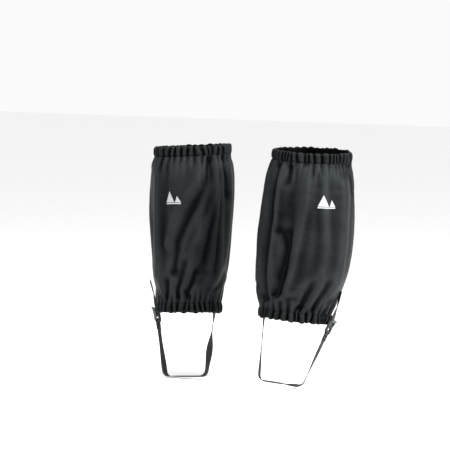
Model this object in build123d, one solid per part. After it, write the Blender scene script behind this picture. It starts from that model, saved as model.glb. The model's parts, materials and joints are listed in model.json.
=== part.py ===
from build123d import *
from dataclasses import dataclass
import math
import os

# A pair of pull-on hiking gaiters, standing as they are worn, with no zip.
# Each is a gathered cloth sleeve. An elastic cuff holds it below the knee and an elastic hem at the ankle.
# A webbing strap passes under the boot: one end is sewn inside the hem, and the other end holds a ladder-lock
# buckle, which hangs on an adjuster webbing that is sewn to the outside of the hem.
# Millimetres. +Z is up the leg, -Y points to the toes and +X to the wearer's left.
# One gaiter is built with its outer side towards +X, and the right one is then mirrored.

# How the pair stands
PAIR_SPACING = 211.0          # between the middles of the two hems
HEM_CLEARANCE_BELOW = 106.0   # from the hem's lower edge down to the foot strap
LEG_HEIGHT = 258.0            # from the middle of the hem up to the middle of the cuff
LEG_LEAN_OUT = 14.5           # how far the cuff stands outwards of the hem
LEG_LEAN_BACK = 31.0          # how far the cuff stands behind the hem
HEM_TILT = (4.0, 5.5)         # degrees that the hem's upper side faces outwards and backwards
CUFF_TILT = (3.0, 0.0)

# Cloth and elastic
CLOTH = 1.0                   # gathered shell cloth
CUFF_RADIUS = 63.0
CUFF_HEIGHT = 18.0
HEM_HEIGHT = 18.0
ELASTIC_THICKNESS = 1.5
CUFF_ELASTIC_HEIGHT = 14.0
HEM_ELASTIC_HEIGHT = 14.0
ELASTIC_CLEARANCE = 0.2       # round an elastic in its tunnel
TUNNEL_DEPTH = 2 * CLOTH + ELASTIC_THICKNESS + 2 * ELASTIC_CLEARANCE
FOLD_RADIUS = 1.2             # of a tunnel's folded edge
MOVING_GAP = 0.3              # between pieces that move on each other

# The sleeve stands out over the straight line from hem to cuff by its fullness at these shares of its height.
SLEEVE_STATIONS = (0.11, 0.33, 0.50, 0.76, 0.90)

# Trim on the sleeve
SEAM_WIDTH = 9.0              # the felled seam at the back
SEAM_THICKNESS = 0.8
SEAM_ROW_SPACING = 6.0        # between its two rows of stitching
THREAD = 0.5                  # thread thickness
TRIM_GAP = 0.03               # between a trim piece and what it lies on
STITCH_INSET = 2.0            # of a tunnel's stitching from the edge next to the sleeve
MARK_WIDTH = 32.0             # the printed mark, two plain peaks on a bar
MARK_HEIGHT = 22.0
MARK_BAR = 3.0
MARK_THICKNESS = 0.25
MARK_HEIGHT_SHARE = 0.76      # of the sleeve's height

# Webbing and buckle
STRAP_WIDTH = 12.0
STRAP_THICKNESS = 1.4
STRAP_END_GAP = 1.3           # between the corners of the strap's sewn end and the hem's inner wall
STRAP_END_ABOVE = 5.0         # length of the sewn end above the swing axis
STRAP_END_BELOW = 12.0        # straight length of it below the swing axis
SWING_AXIS_BELOW = 4.0        # of the strap's swing axis below the hem's middle
SOLE_HALF_WIDTH = 38.0        # of the boot sole that the strap passes under
SOLE_CORNER = 12.0            # radius where the strap turns under the sole
STRAP_FOLD = 17.0             # length of the strap's end, folded back round the anchor bar and sewn
LOOP_TACK_BELOW = 11.0        # of that sewing's middle below the anchor bar
SEWN_END = 10.0               # of the adjuster webbing, on the hem
SEWN_END_ABOVE = 9.0          # of its upper edge above the swing axis
TAIL_LENGTH = 46.0            # of the adjuster webbing above its bend at the buckle's lip
BAR_GAP = 0.2                 # between webbing and a buckle bar
ANCHOR_BAR = 1.4              # radii of the buckle's bars
MIDDLE_BAR = 1.5
LIP_BAR = 1.3
BAR_PITCH = 9.0
LIP_OFFSET = 1.5              # of the lip bar towards the outside
LIP_LENGTH = 5.0
LIP_ANGLE = 35.0
RAIL_WIDTH = 2.5
RAIL_RADIUS = 2.1
SLOT_CLEARANCE = 0.5          # beside the webbing in a slot
LEG_CLEARANCE = 0.3           # between the two legs of webbing behind the lip bar
BUCKLE_BELOW_AXIS = 17.0      # of the anchor bar below the swing axis
BUCKLE_STANDOFF = 4.5         # of the anchor bar from the hem's outer face
BARTACK_WIDTH = 10.0
BARTACK_HEIGHT = 2.0
BARTACK_SPACING = 6.0


@dataclass
class Side:
    name: str
    mirrored: bool
    hem_radius: float      # outer radius, where the hem sits on the boot
    fullness: tuple        # of the sleeve at SLEEVE_STATIONS
    strap_turn: float      # degrees that the strap's outer end sits behind the outermost point
    strap_slant: float     # degrees that the strap's lower end swings forwards of the hem's axis
    mark_angle: float      # degrees of the mark from the front towards the outer side
    mark_tilt: float       # degrees that the mark is turned on the sleeve


RIGHT = Side("right", True, 53.5, (3.5, 8.5, 10.5, 11.0, 7.0), -8.0, 6.5, -9.0, 0.0)
LEFT = Side("left", False, 57.5, (9.5, 17.5, 16.5, 13.0, 7.5), 12.0, 14.5, 59.0, 0.0)


def tilted_plane(origin, tilt):
    """A plane whose normal leans outwards and backwards by the two angles of tilt."""
    out, back = (math.tan(math.radians(angle)) for angle in tilt)
    return Plane(origin=origin, x_dir=(1, 0, -out), z_dir=(out, back, 1))


HEM_PLANE = tilted_plane((0, 0, 0), HEM_TILT)
CUFF_PLANE = tilted_plane((LEG_LEAN_OUT, LEG_LEAN_BACK, LEG_HEIGHT), CUFF_TILT)
LEG_AXIS = (CUFF_PLANE.origin - HEM_PLANE.origin).normalized()


def ring(outer, inner, height):
    return Cylinder(outer, height) - Cylinder(inner, height)


# Sleeve and its trim

def sleeve_ends():
    """The planes where the sleeve meets the hem and the cuff."""
    return HEM_PLANE.offset(HEM_HEIGHT / 2 + MOVING_GAP), CUFF_PLANE.offset(-CUFF_HEIGHT / 2)


def sleeve_plane(share):
    """The plane across the sleeve at a share of its height."""
    low, high = sleeve_ends()
    origin = low.origin * (1 - share) + high.origin * share
    normal = low.z_dir * (1 - share) + high.z_dir * share
    return Plane(origin=origin, x_dir=(normal.Z, 0, -normal.X), z_dir=normal)


def sleeve_body(side, grow):
    """The solid inside the sleeve's outer face, grown by a distance."""
    sections = []
    for share, extra in zip((0, *SLEEVE_STATIONS, 1), (0, *side.fullness, 0)):
        straight = side.hem_radius * (1 - share) + CUFF_RADIUS * share
        sections.append(sleeve_plane(share) * Circle(straight + extra + grow))
    return loft(sections)


def sleeve(side):
    return sleeve_body(side, 0) - sleeve_body(side, -CLOTH)


def sleeve_skin(side, start, thickness):
    """A layer that lies on the sleeve."""
    return sleeve_body(side, start + thickness) - sleeve_body(side, start)


def sleeve_reach(side):
    """A length that is past the sleeve from its middle."""
    return side.hem_radius + CUFF_RADIUS + max(side.fullness)


def back_strip(side, offset, width):
    """A slab along the back of the leg, offset sideways from its middle."""
    low, high = sleeve_ends()
    reach = sleeve_reach(side)
    slab = Pos(offset, reach / 2, 0) * Box(width, reach, 2 * LEG_HEIGHT)
    lean = Plane(origin=(low.origin + high.origin) / 2, x_dir=(LEG_AXIS.Z, 0, -LEG_AXIS.X), z_dir=LEG_AXIS)
    return lean.location * slab


def back_seam(side):
    return sleeve_skin(side, TRIM_GAP, SEAM_THICKNESS) & back_strip(side, 0, SEAM_WIDTH)


def back_seam_stitching(side):
    skin = sleeve_skin(side, SEAM_THICKNESS + 2 * TRIM_GAP, THREAD)
    rows = [skin & back_strip(side, sign * SEAM_ROW_SPACING / 2, THREAD) for sign in (-1, 1)]
    return rows[0] + rows[1]


def mark_outline():
    """Two plain peaks on a bar, centred."""
    half, top = MARK_WIDTH / 2, MARK_HEIGHT / 2
    foot = MARK_BAR - top
    tall = Polygon((-half, foot), (MARK_BAR, foot), (-half / 2, top), align=None)
    low = Polygon((0, foot), (half, foot), (half / 2, top / 4), align=None)
    bar = Pos(0, foot - MARK_BAR / 2) * Rectangle(MARK_WIDTH, MARK_BAR)
    return tall + low + bar


def mark_print(side):
    middle = sleeve_plane(MARK_HEIGHT_SHARE).origin
    facing = Plane(origin=(0, 0, 0), x_dir=(1, 0, 0), z_dir=(0, -1, 0)).location * Rot(0, 0, side.mark_tilt)
    stamp = Pos(*middle) * Rot(0, 0, side.mark_angle) * facing * extrude(mark_outline(), sleeve_reach(side))
    return sleeve_skin(side, TRIM_GAP, MARK_THICKNESS) & stamp


# Elastic tunnels

def tunnel(radius, height, mouth):
    """A folded cloth ring with a pocket for its elastic, open at the mouth: 1 is up, -1 is down."""
    body = ring(radius, radius - TUNNEL_DEPTH, height)
    pocket = ring(radius - CLOTH, radius - TUNNEL_DEPTH + CLOTH, height - CLOTH)
    body -= Pos(0, 0, mouth * CLOTH / 2) * pocket
    folded = body.edges().filter_by(GeomType.CIRCLE).group_by(Axis.Z)[0 if mouth > 0 else -1]
    return fillet(folded, min(FOLD_RADIUS, TUNNEL_DEPTH / 2 - CLOTH / 4))


def elastic(radius, height, tunnel_height, mouth):
    outer = radius - CLOTH - ELASTIC_CLEARANCE
    shift = mouth * (ELASTIC_CLEARANCE + CLOTH - (tunnel_height - height) / 2)
    return Pos(0, 0, shift) * ring(outer, outer - ELASTIC_THICKNESS, height)


def stitching(radius, height, mouth):
    """A row of thread round the outside of a tunnel, close to its mouth."""
    place = Pos(0, 0, mouth * (height / 2 - STITCH_INSET))
    return place * Torus(radius + THREAD / 2 + TRIM_GAP, THREAD / 2)


# Webbing and buckle, in the strap's own frame: x outwards, y back, z up, with the swing axis along x at z = 0

SLOT_WIDTH = STRAP_WIDTH + 2 * SLOT_CLEARANCE
BUCKLE_WIDTH = SLOT_WIDTH + 2 * RAIL_WIDTH
MIDDLE_WRAP = MIDDLE_BAR + BAR_GAP + STRAP_THICKNESS / 2
TAIL_OUT = LIP_OFFSET - LIP_BAR - BAR_GAP - STRAP_THICKNESS / 2
LOAD_LEG_OUT = min(-MIDDLE_WRAP, TAIL_OUT - STRAP_THICKNESS - LEG_CLEARANCE)
TAIL_HINGE_UP = 2 * BAR_PITCH + LIP_LENGTH + LIP_BAR


def sewn_location(side):
    """On the hem's axis at the height of the swing axis, with x towards the strap's outer end."""
    return HEM_PLANE.location * Rot(0, 0, side.strap_turn) * Pos(0, 0, -SWING_AXIS_BELOW)


def strap_location(side):
    return sewn_location(side) * Rot(-side.strap_slant, 0, 0)


def buckle_location(side):
    """At the anchor bar, with x out of the buckle's face and z up along it, in line with the strap below."""
    x, z = side.hem_radius + BUCKLE_STANDOFF, -BUCKLE_BELOW_AXIS
    lean = math.degrees(math.atan2(x - SOLE_HALF_WIDTH, z + strap_drop()))
    return strap_location(side) * Pos(x, 0, z) * Rot(0, lean, 0)


def webbing(*path):
    """Webbing along a path of connected edges, given in the XZ plane."""
    face = Sketch() + [Plane.XZ * trace(edge, STRAP_THICKNESS) for edge in path]
    return extrude(face, STRAP_WIDTH / 2, both=True)


def slab(thickness, width, low, high, out):
    """A flat piece between two heights, with its middle out from the frame's origin."""
    return Pos(out, 0, (low + high) / 2) * Box(thickness, width, high - low)


def strap_drop():
    """Depth of the foot strap's centre line below the swing axis."""
    return HEM_CLEARANCE_BELOW + HEM_HEIGHT / 2 - SWING_AXIS_BELOW + STRAP_THICKNESS / 2


def sewn_strap_x(side):
    """Where the foot strap's centre line runs inside the hem, whose round wall is nearest to its corners."""
    wall = math.sqrt((side.hem_radius - TUNNEL_DEPTH) ** 2 - (STRAP_WIDTH / 2) ** 2)
    return -(wall - STRAP_END_GAP - STRAP_THICKNESS / 2)


def foot_strap(side):
    x, drop = sewn_strap_x(side), strap_drop()
    top = strap_location(side).inverse() * buckle_location(side) * Pos(0, 0, -STRAP_FOLD - MOVING_GAP)
    points = [
        (x, STRAP_END_ABOVE),
        (x, -STRAP_END_BELOW),
        (-SOLE_HALF_WIDTH, -drop),
        (SOLE_HALF_WIDTH, -drop),
        (top.position.X, top.position.Z),
    ]
    return strap_location(side) * webbing(FilletPolyline(*points, radius=SOLE_CORNER))


def strap_loop(side):
    """The foot strap's outer end, folded round the anchor bar and sewn flat on itself."""
    hole = ANCHOR_BAR + BAR_GAP
    turn = Rot(90, 0, 0) * Cylinder(hole + STRAP_THICKNESS, STRAP_WIDTH)
    legs = slab(2 * STRAP_THICKNESS, STRAP_WIDTH, -STRAP_FOLD, 0, 0)
    return buckle_location(side) * (turn + legs - Rot(90, 0, 0) * Cylinder(hole, STRAP_WIDTH))


def adjuster_webbing(side):
    """The adjuster webbing's sewn end, on the outside of the hem."""
    out = side.hem_radius + TRIM_GAP + STRAP_THICKNESS / 2
    low = SEWN_END_ABOVE - SEWN_END
    return sewn_location(side) * slab(STRAP_THICKNESS, STRAP_WIDTH, low, SEWN_END_ABOVE, out)


def adjuster_wrap(side):
    """The adjuster webbing through the buckle: down behind the bars, round the middle bar and up again."""
    leg = Line((LOAD_LEG_OUT, 2 * BAR_PITCH), (LOAD_LEG_OUT, BAR_PITCH))
    under = ThreePointArc((LOAD_LEG_OUT, BAR_PITCH), (0, BAR_PITCH - MIDDLE_WRAP), (MIDDLE_WRAP, BAR_PITCH))
    front = FilletPolyline(
        (MIDDLE_WRAP, BAR_PITCH),
        (MIDDLE_WRAP, BAR_PITCH + MIDDLE_BAR),
        (TAIL_OUT, 2 * BAR_PITCH - LIP_BAR),
        (TAIL_OUT, TAIL_HINGE_UP - STRAP_THICKNESS / 2 - MOVING_GAP),
        radius=STRAP_THICKNESS,
    )
    return buckle_location(side) * webbing(leg, under, front)


def adjuster_tail(side):
    tip = TAIL_HINGE_UP + TAIL_LENGTH
    return buckle_location(side) * slab(STRAP_THICKNESS, STRAP_WIDTH, TAIL_HINGE_UP, tip, TAIL_OUT)


def bar(radius, out, up):
    return Pos(out, 0, up) * Rot(90, 0, 0) * Cylinder(radius, BUCKLE_WIDTH)


def buckle(side):
    """A ladder-lock: an anchor bar, a middle bar and a lip bar between two rails, with a lip to lift it by."""
    ends = [(0, 0), (0, BAR_PITCH), (LIP_OFFSET, 2 * BAR_PITCH)]
    low, middle, high = ((Pos(*end) * Circle(RAIL_RADIUS)).edges() for end in ends)
    outline = make_hull(low + middle) + make_hull(middle + high)
    rail = extrude(Plane.XZ * outline, RAIL_WIDTH / 2, both=True)
    rail_y = (SLOT_WIDTH + RAIL_WIDTH) / 2
    body = Pos(0, rail_y, 0) * rail + Pos(0, -rail_y, 0) * rail
    for radius, (out, up) in zip((ANCHOR_BAR, MIDDLE_BAR, LIP_BAR), ends):
        body += bar(radius, out, up)
    lip = Pos(0, 0, LIP_LENGTH / 2) * Box(2 * LIP_BAR, BUCKLE_WIDTH, LIP_LENGTH)
    lip = fillet(lip.edges().filter_by(Axis.Y).group_by(Axis.Z)[-1], LIP_BAR * 0.9)
    body += Pos(LIP_OFFSET, 0, 2 * BAR_PITCH) * Rot(0, LIP_ANGLE, 0) * lip
    return buckle_location(side) * body


def bartacks(out, up):
    """Two dense bars of thread on the outer face of webbing, whose face and middle are given."""
    middle = out + TRIM_GAP + THREAD / 2
    bars = [Pos(middle, 0, up + sign * BARTACK_SPACING / 2) * Box(THREAD, BARTACK_WIDTH, BARTACK_HEIGHT)
            for sign in (-1, 1)]
    return bars[0] + bars[1]


def adjuster_bartack(side):
    face = side.hem_radius + TRIM_GAP + STRAP_THICKNESS
    return sewn_location(side) * bartacks(face, SEWN_END_ABOVE - SEWN_END / 2)


def strap_loop_bartack(side):
    return buckle_location(side) * bartacks(STRAP_THICKNESS, -LOOP_TACK_BELOW)


def strap_end_bartack(side):
    return strap_location(side) * bartacks(sewn_strap_x(side) + STRAP_THICKNESS / 2, 0)


def gaiter(side):
    """All the nodes of one gaiter, with the middle of its hem at the origin and its outer side towards +X."""
    hem, cuff = HEM_PLANE.location, CUFF_PLANE.location
    return {
        "sleeve": sleeve(side),
        "back_seam": back_seam(side),
        "back_seam_stitching": back_seam_stitching(side),
        "mark_print": mark_print(side),
        "hem_tunnel": hem * tunnel(side.hem_radius, HEM_HEIGHT, 1),
        "hem_elastic": hem * elastic(side.hem_radius, HEM_ELASTIC_HEIGHT, HEM_HEIGHT, 1),
        "hem_stitching": hem * stitching(side.hem_radius, HEM_HEIGHT, 1),
        "cuff_tunnel": cuff * tunnel(CUFF_RADIUS, CUFF_HEIGHT, -1),
        "cuff_elastic": cuff * elastic(CUFF_RADIUS, CUFF_ELASTIC_HEIGHT, CUFF_HEIGHT, -1),
        "cuff_stitching": cuff * stitching(CUFF_RADIUS, CUFF_HEIGHT, -1),
        "adjuster_webbing": adjuster_webbing(side),
        "adjuster_bartack": adjuster_bartack(side),
        "adjuster_wrap": adjuster_wrap(side),
        "adjuster_tail": adjuster_tail(side),
        "buckle": buckle(side),
        "strap_loop": strap_loop(side),
        "strap_loop_bartack": strap_loop_bartack(side),
        "foot_strap": foot_strap(side),
        "strap_end_bartack": strap_end_bartack(side),
    }


def pair():
    """The nodes of both gaiters, side by side, with the right one mirrored."""
    nodes = {}
    for side in (RIGHT, LEFT):
        for name, shape in gaiter(side).items():
            placed = Pos(PAIR_SPACING / 2, 0, 0) * shape
            nodes[f"{side.name}_{name}"] = mirror(placed, Plane.YZ) if side.mirrored else placed
    return nodes


def to_ground(nodes):
    """The move that puts the origin under the middle of the pair, level with the lowest foot strap."""
    boxes = [shape.bounding_box() for shape in nodes.values()]
    low_x, high_x = min(box.min.X for box in boxes), max(box.max.X for box in boxes)
    low_y, high_y = min(box.min.Y for box in boxes), max(box.max.Y for box in boxes)
    return Pos(-(low_x + high_x) / 2, -(low_y + high_y) / 2, -min(box.min.Z for box in boxes))


NODES = pair()
GROUND = to_ground(NODES)
os.makedirs("parts", exist_ok=True)
for node_name, node_shape in NODES.items():
    export_step(GROUND * node_shape, f"parts/{node_name}.step")
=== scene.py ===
# %% [markdown]
# # A pair of pull-on hiking gaiters
# Each gaiter is a nylon sleeve that elastic gathers at the calf and at the ankle, with a webbing strap
# under the boot and a plastic ladder-lock buckle on the outer side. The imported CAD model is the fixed
# frame: it says where each piece is and what moves. This file dresses it: cloth, webbing, thread, print
# and moulded plastic.

# %% Load the frame
import json
import math

import bpy
import numpy as np
from mathutils import Matrix, Vector
from mathutils.bvhtree import BVHTree


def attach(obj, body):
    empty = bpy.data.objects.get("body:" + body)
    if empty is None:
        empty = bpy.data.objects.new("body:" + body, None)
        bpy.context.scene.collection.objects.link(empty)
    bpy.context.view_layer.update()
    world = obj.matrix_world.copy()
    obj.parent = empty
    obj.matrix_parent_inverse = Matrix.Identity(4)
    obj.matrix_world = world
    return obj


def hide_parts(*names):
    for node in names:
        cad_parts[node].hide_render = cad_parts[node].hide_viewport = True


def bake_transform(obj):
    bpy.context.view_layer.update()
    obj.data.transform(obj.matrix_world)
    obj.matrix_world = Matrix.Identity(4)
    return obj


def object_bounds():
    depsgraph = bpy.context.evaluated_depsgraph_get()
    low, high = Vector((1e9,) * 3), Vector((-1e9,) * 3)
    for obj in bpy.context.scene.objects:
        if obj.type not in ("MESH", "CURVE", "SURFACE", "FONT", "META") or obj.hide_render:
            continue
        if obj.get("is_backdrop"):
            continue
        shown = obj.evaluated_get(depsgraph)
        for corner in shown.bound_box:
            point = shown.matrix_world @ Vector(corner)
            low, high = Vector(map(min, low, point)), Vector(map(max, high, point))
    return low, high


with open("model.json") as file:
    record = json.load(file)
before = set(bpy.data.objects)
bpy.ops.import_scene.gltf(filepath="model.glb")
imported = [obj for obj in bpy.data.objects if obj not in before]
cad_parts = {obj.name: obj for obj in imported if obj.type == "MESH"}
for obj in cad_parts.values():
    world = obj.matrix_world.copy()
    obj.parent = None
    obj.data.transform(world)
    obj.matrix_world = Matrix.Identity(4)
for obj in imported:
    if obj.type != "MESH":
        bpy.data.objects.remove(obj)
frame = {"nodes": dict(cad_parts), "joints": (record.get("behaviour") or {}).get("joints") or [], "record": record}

MM = 0.001
cad_low, cad_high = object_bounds()
print("CAD box", [round(x, 4) for x in cad_high - cad_low])

# %% [markdown]
# ## Camera
# The pair is seen from its front left, a little above the ankles, through a long lens, so that verticals
# stay nearly parallel. The camera is placed from the object's own box. A long lens far away was chosen
# over a short one close by because a product picture shows both gaiters at nearly the same scale.

# %% Place the camera
VIEW_AZIMUTH, VIEW_ELEVATION = math.radians(35), math.radians(4.5)
LENS, SENSOR = 300.0, 36.0
VIEW_WIDTH = 0.742           # metres across the picture at the object
AIM_RIGHT, AIM_UP = -0.0375, 0.0635
back = Vector((math.sin(VIEW_AZIMUTH) * math.cos(VIEW_ELEVATION),
               -math.cos(VIEW_AZIMUTH) * math.cos(VIEW_ELEVATION), math.sin(VIEW_ELEVATION)))
right = Vector((math.cos(VIEW_AZIMUTH), math.sin(VIEW_AZIMUTH), 0))
up = back.cross(right)
middle = (cad_low + cad_high) / 2
aim = middle + right * AIM_RIGHT + up * AIM_UP
camera = bpy.data.objects.new("camera", bpy.data.cameras.new("camera"))
bpy.context.scene.collection.objects.link(camera)
camera.data.lens, camera.data.sensor_width = LENS, SENSOR
camera.data.clip_end = 50
camera.location = aim + back * (VIEW_WIDTH / SENSOR * LENS)
camera.rotation_mode = "QUATERNION"
camera.rotation_quaternion = back.to_track_quat("Z", "Y")
bpy.context.scene.camera = camera
print("camera distance", round((camera.location - aim).length, 2), "m")

# %% [markdown]
# ## Floor and light
# A studio sweep is a pale paper floor under a white sky. Black cloth shows its folds only where it mirrors
# something bright, so the lights are large and come from the side. One wide light at the right draws the
# folds, a weaker one at the left fills them, and one above lights the crests of the gathers.

# %% Build the studio
scene = bpy.context.scene
scene.view_settings.view_transform = "Standard"
world = bpy.data.worlds.new("studio")
world.use_nodes = True
world.node_tree.nodes["Background"].inputs["Color"].default_value = (1, 1, 1, 1)
world.node_tree.nodes["Background"].inputs["Strength"].default_value = 0.96
scene.world = world


def area_light(name, azimuth, elevation, distance, size, power):
    """A square light round the object's middle, aimed at it."""
    turn, rise = math.radians(azimuth), math.radians(elevation)
    towards = Vector((math.sin(turn) * math.cos(rise), -math.cos(turn) * math.cos(rise), math.sin(rise)))
    lamp = bpy.data.objects.new(name, bpy.data.lights.new(name, "AREA"))
    lamp.data.size, lamp.data.energy = size, power
    lamp.location = middle + towards * distance
    lamp.rotation_mode = "QUATERNION"
    lamp.rotation_quaternion = towards.to_track_quat("Z", "Y")
    scene.collection.objects.link(lamp)


area_light("key", azimuth=88, elevation=30, distance=1.6, size=0.6, power=56)
area_light("fill", azimuth=-25, elevation=25, distance=1.8, size=0.45, power=15)
area_light("top", azimuth=20, elevation=70, distance=1.5, size=0.5, power=24)

# %% [markdown]
# ## Small helpers for modelling
# Every soft piece here starts as a flat grid, as cloth does, which is then rolled, folded and sewn. A grid
# keeps the cloth's own width and length as its UV map, in metres, so a weave drawn on that map is the same
# everywhere.

# %% Modelling helpers


def deselect():
    """Leaves edit mode and selects nothing, because an operator acts on all that is selected."""
    if bpy.context.object and bpy.context.object.mode != "OBJECT":
        bpy.ops.object.mode_set(mode="OBJECT")
    bpy.ops.object.select_all(action="DESELECT")


def choose(obj):
    deselect()
    obj.select_set(True)
    bpy.context.view_layer.objects.active = obj


def points_of(obj):
    """The object's vertices as an array of rows."""
    flat = np.zeros(len(obj.data.vertices) * 3)
    obj.data.vertices.foreach_get("co", flat)
    return flat.reshape(-1, 3)


def set_points(obj, points):
    obj.data.vertices.foreach_set("co", np.asarray(points, float).ravel())
    obj.data.update()


def flat_panel(name, columns, rows, width, length):
    """A grid of cloth cut to width and length. Its UV map holds metres."""
    deselect()
    bpy.ops.mesh.primitive_grid_add(x_subdivisions=columns, y_subdivisions=rows, size=1, calc_uvs=True)
    panel = bpy.context.object
    panel.name = panel.data.name = name
    layer = panel.data.uv_layers[0]
    layer.name = "cloth"
    uv = np.zeros(len(panel.data.loops) * 2)
    layer.data.foreach_get("uv", uv)
    layer.data.foreach_set("uv", (uv.reshape(-1, 2) * (width, length)).ravel())
    return panel


def grid_shares(panel):
    """Each vertex's place on the flat grid, from 0 to 1 across and along."""
    flat = points_of(panel)
    return flat[:, 0] + 0.5, flat[:, 1] + 0.5


def sew(obj, gap=0.00002):
    """Merges the edges that meet, and turns the faces outwards."""
    choose(obj)
    bpy.ops.object.mode_set(mode="EDIT")
    bpy.ops.mesh.select_all(action="SELECT")
    bpy.ops.mesh.remove_doubles(threshold=gap)
    bpy.ops.mesh.normals_make_consistent(inside=False)
    bpy.ops.object.mode_set(mode="OBJECT")


def smooth(obj, angle=60):
    choose(obj)
    bpy.ops.object.shade_smooth_by_angle(angle=math.radians(angle))


def add_modifier(obj, kind, **settings):
    """Adds a modifier and applies it."""
    choose(obj)
    modifier = obj.modifiers.new(kind.title(), kind)
    for key, value in settings.items():
        setattr(modifier, key, value)
    bpy.ops.object.modifier_apply(modifier=modifier.name)


def subdivided(obj, levels=1):
    add_modifier(obj, "SUBSURF", levels=levels, render_levels=levels)


def unit(rows):
    rows = np.asarray(rows, float)
    return rows / np.linalg.norm(rows, axis=-1, keepdims=True)


# %% [markdown]
# ## Shader maths as expressions
# A material is a graph of nodes. Written as Python, `1 - mask` is easier to read than three links, so a
# small class wraps a socket and turns arithmetic into Math nodes. Everything else comes from one method
# that makes a node.

# %% Shader helpers


class Value:
    """A number that changes over a surface: one socket, whose arithmetic adds Math nodes."""

    def __init__(self, finish, socket):
        self.finish, self.socket = finish, socket

    def math(self, operation, other=0.0, reflected=False):
        pair = (other, self) if reflected else (self, other)
        return self.finish.node("ShaderNodeMath", {"operation": operation}, {0: pair[0], 1: pair[1]})

    def __add__(self, other):
        return self.math("ADD", other)

    def __sub__(self, other):
        return self.math("SUBTRACT", other)

    def __rsub__(self, other):
        return self.math("SUBTRACT", other, reflected=True)

    def __mul__(self, other):
        return self.math("MULTIPLY", other)

    __radd__, __rmul__ = __add__, __mul__

    def sine(self):
        return self.math("SINE")

    def size(self):
        return self.math("ABSOLUTE")


class Finish:
    """A material that is being made."""

    def __init__(self, name, roughness=0.5, **constants):
        self.material = bpy.data.materials.new(name)
        self.material.use_nodes = True
        self.tree = self.material.node_tree
        self.shader = self.tree.nodes["Principled BSDF"]
        self.shader.inputs["Roughness"].default_value = roughness
        for socket, value in constants.items():
            self.shader.inputs[socket.replace("_", " ")].default_value = value

    def node(self, kind, settings=None, sockets=None, out=0):
        """Adds a node with its settings, then the values or links of its sockets, and returns one output."""
        made = self.tree.nodes.new(kind)
        for key, value in (settings or {}).items():
            setattr(made, key, value)
        for key, value in (sockets or {}).items():
            self.feed(made.inputs[key], value)
        return Value(self, made.outputs[out])

    def feed(self, socket, value):
        if isinstance(value, Value):
            self.tree.links.new(value.socket, socket)
        else:
            socket.default_value = value

    def set(self, **sockets):
        for key, value in sockets.items():
            self.feed(self.shader.inputs[key.replace("_", " ")], value)

    def cloth_place(self):
        """The place across and along the cloth, in metres, from its UV map."""
        place = self.node("ShaderNodeUVMap", {"uv_map": "cloth"})
        split = self.tree.nodes.new("ShaderNodeSeparateXYZ")
        self.feed(split.inputs[0], place)
        return place, Value(self, split.outputs[0]), Value(self, split.outputs[1])

    def noise(self, place, scale, detail=3.0, roughness=0.55):
        return self.node("ShaderNodeTexNoise", None,
                         {"Vector": place, "Scale": scale, "Detail": detail, "Roughness": roughness})

    def object_place(self):
        return self.node("ShaderNodeTexCoord", out="Object")

    def mix(self, share, first, second):
        """A colour between two, by share."""
        return self.node("ShaderNodeMix", {"data_type": "RGBA"}, {0: share, 6: first, 7: second}, out=2)

    def bump(self, height, strength, distance, below=None):
        sockets = {"Height": height, "Strength": strength, "Distance": distance}
        if below is not None:
            sockets["Normal"] = below
        return self.node("ShaderNodeBump", None, sockets)


def shade(*channels):
    return (*channels, 1.0)


# %% [markdown]
# ## Nylon shell cloth
# The shell is a tight plain weave with a satin face. Up close it shows crossing threads about half a
# millimetre apart, a soft shine along folds and slubs in the yarn. Where the cloth stands out its colour
# gets a painted highlight, and in its valleys painted shade. The weave is two crossing sine waves on the
# cloth's own UV map. Object coordinates would stretch it on steep folds.

# %% Nylon
THREAD_PITCH = 0.45 * MM
COOL_SHINE = (0.86, 0.96, 1.0, 1.0)


def plain_weave(across, along):
    return (across * (2 * math.pi / THREAD_PITCH)).sine() * (along * (2 * math.pi / THREAD_PITCH)).sine()


def nylon(name, dark, light, roughness, shine):
    """Black nylon, painted dark in its valleys as shade and light on its crests as a highlight. shine is the level
    of its gloss.
    """
    finish = Finish(name, Specular_IOR_Level=shine, Specular_Tint=COOL_SHINE)
    place, across, along = finish.cloth_place()
    weave = plain_weave(across, along)
    broad = finish.noise(place, 14.0, 4.0)
    fine = finish.noise(place, 900.0, 2.0)
    slubs = finish.noise(place, 160.0, 2.0)
    crest = finish.node("ShaderNodeAttribute", {"attribute_name": "crest"}, out="Fac")
    # painted highlight on crests and painted shade in valleys, from how far the cloth stands out
    painted_crest_shade = crest * (0.35 + broad * 0.9)
    tone = finish.mix(painted_crest_shade * 0.8 + (broad - 0.5) * 0.3 + (slubs - 0.5) * 0.25, shade(*dark), shade(*light))
    finish.set(Base_Color=tone, Roughness=roughness + (broad - 0.5) * 0.16 + weave * 0.02 + painted_crest_shade * 0.06)
    creases = finish.bump(broad + slubs * 0.12, 0.35, 0.0012)
    finish.set(Normal=finish.bump(weave * 0.8 + fine * 0.4, 0.32, 0.00012, below=creases))
    return finish.material


# dark is the painted shade in the folds' valleys, light the painted highlight on their crests
shell_nylon = nylon("shell_nylon", (0.0004, 0.0005, 0.0006), (0.0170, 0.0190, 0.0200), 0.34, 0.040)
# The bands are the same nylon painted darker, as painted shade between the gathered ruffles.
gathered_nylon_shaded = nylon("gathered_nylon_shaded", (0.0002, 0.0002, 0.0002), (0.0150, 0.0166, 0.0172), 0.36, 0.022)

# %% [markdown]
# ## Webbing
# Narrow polypropylene webbing is woven in ribs that lean one way and then the other, with a dense selvedge
# at each side. It is duller than the shell. Ribs are a sine of the length plus a zigzag of the width,
# which makes them lean.

# %% Webbing
RIB_PITCH, RIB_LEAN = 1.3 * MM, 1.1 * MM
ZIGZAG_WIDTH, WEBBING_THREAD = 3 * MM, 0.6 * MM


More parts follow.
